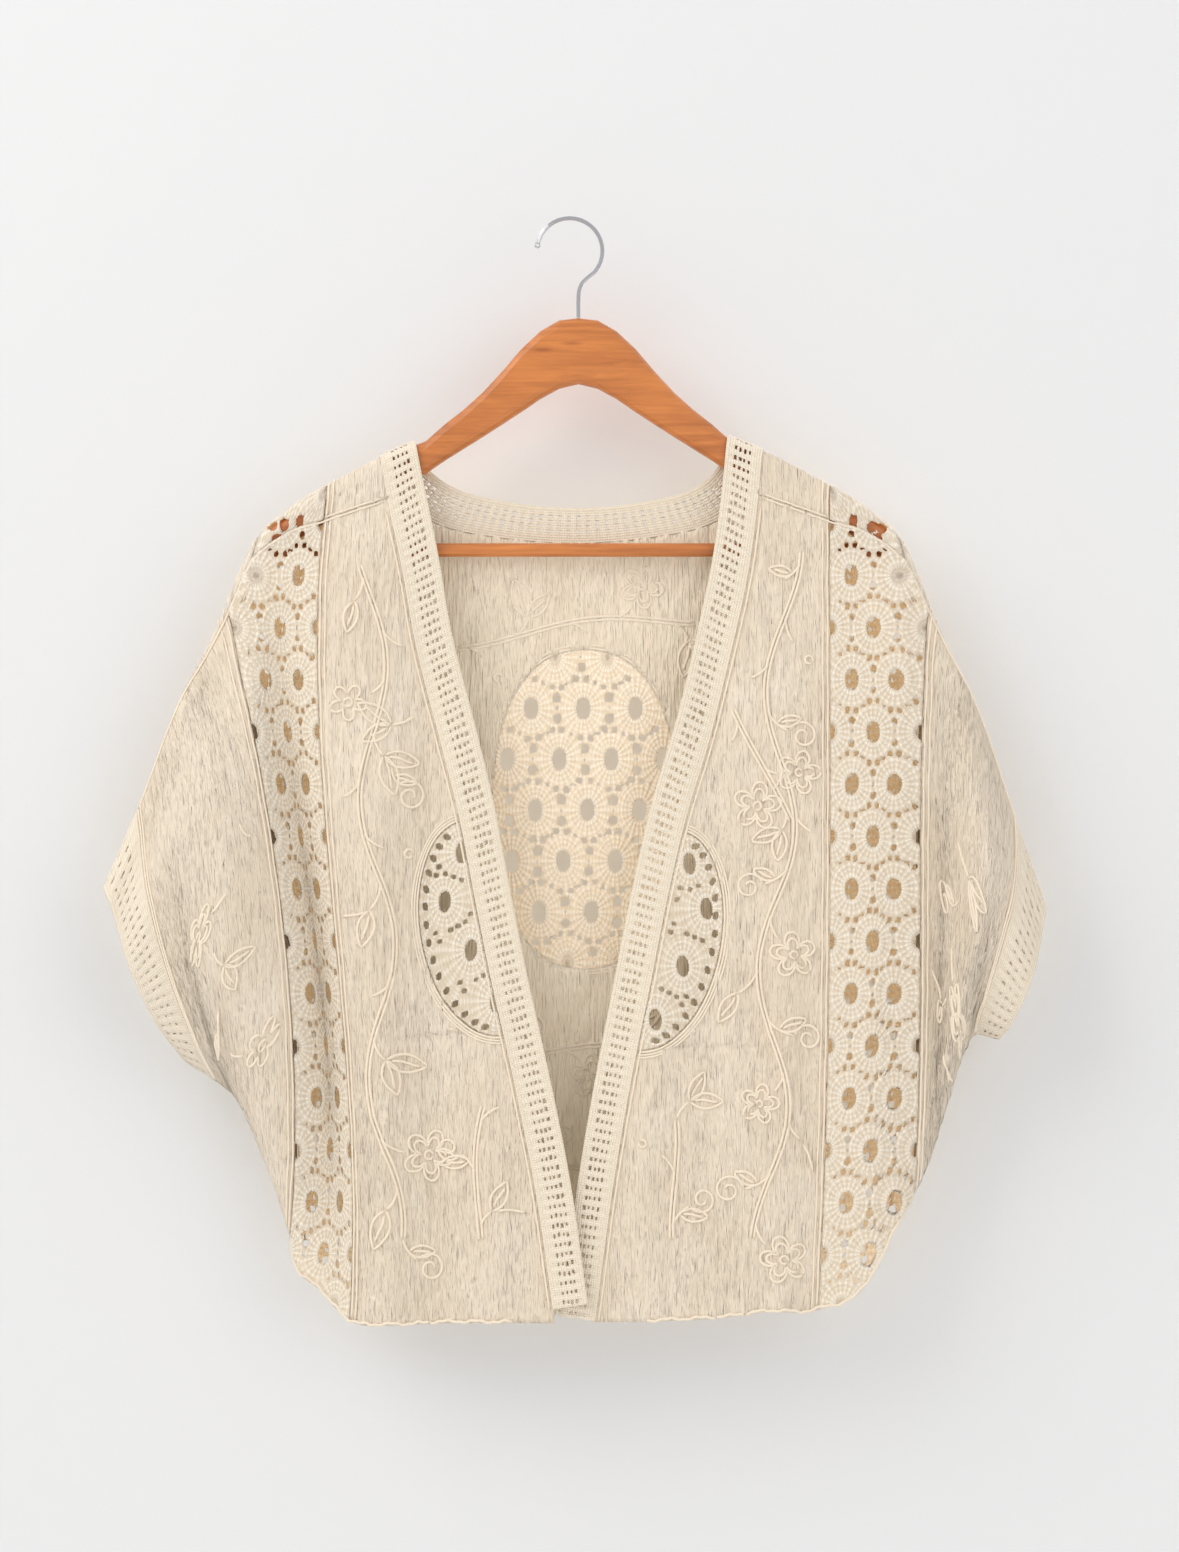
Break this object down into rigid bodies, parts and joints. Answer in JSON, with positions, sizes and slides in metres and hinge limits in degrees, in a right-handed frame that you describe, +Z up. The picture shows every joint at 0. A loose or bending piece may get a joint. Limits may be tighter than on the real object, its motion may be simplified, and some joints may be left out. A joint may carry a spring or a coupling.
{
  "type": "crochet-trimmed open cardigan on a wooden hanger",
  "caption": "Wide-sleeved open cardigan of crinkled gauze with crochet lace strips, ribbed bands and cuffs, hung flat on a wooden hanger with a wire hook.",
  "frame": {"origin": "inside crown of the hanger's hook, where it rests on a rail", "axes": "+X to the right in the front view, +Y from the front towards the wall behind, +Z up"},
  "size_m": [0.6428, 0.0775, 0.7511],
  "materials": {
    "gauze": "matt crinkled cotton gauze, ivory",
    "crochet": "matt cotton crochet, ivory",
    "wood": "satin varnish, orange brown",
    "chrome": "bright plated wire"
  },
  "bodies": {
    "root": {"front_left": "gauze", "front_right": "gauze", "back_panel": "gauze", "sleeve_front_left": "gauze", "sleeve_front_right": "gauze", "sleeve_back_left": "gauze", "sleeve_back_right": "gauze", "front_lace_left": "crochet", "front_lace_right": "crochet", "back_lace": "crochet", "lace_strip_front_left": "crochet", "lace_strip_front_right": "crochet", "lace_strip_back_left": "crochet", "lace_strip_back_right": "crochet", "front_band_left": "crochet", "front_band_right": "crochet", "neck_band": "crochet", "cuff_left": "crochet", "cuff_right": "crochet", "hanger_arms": "wood", "hanger_bar": "wood", "hanger_hook": "chrome"}
  },
  "joints": []
}
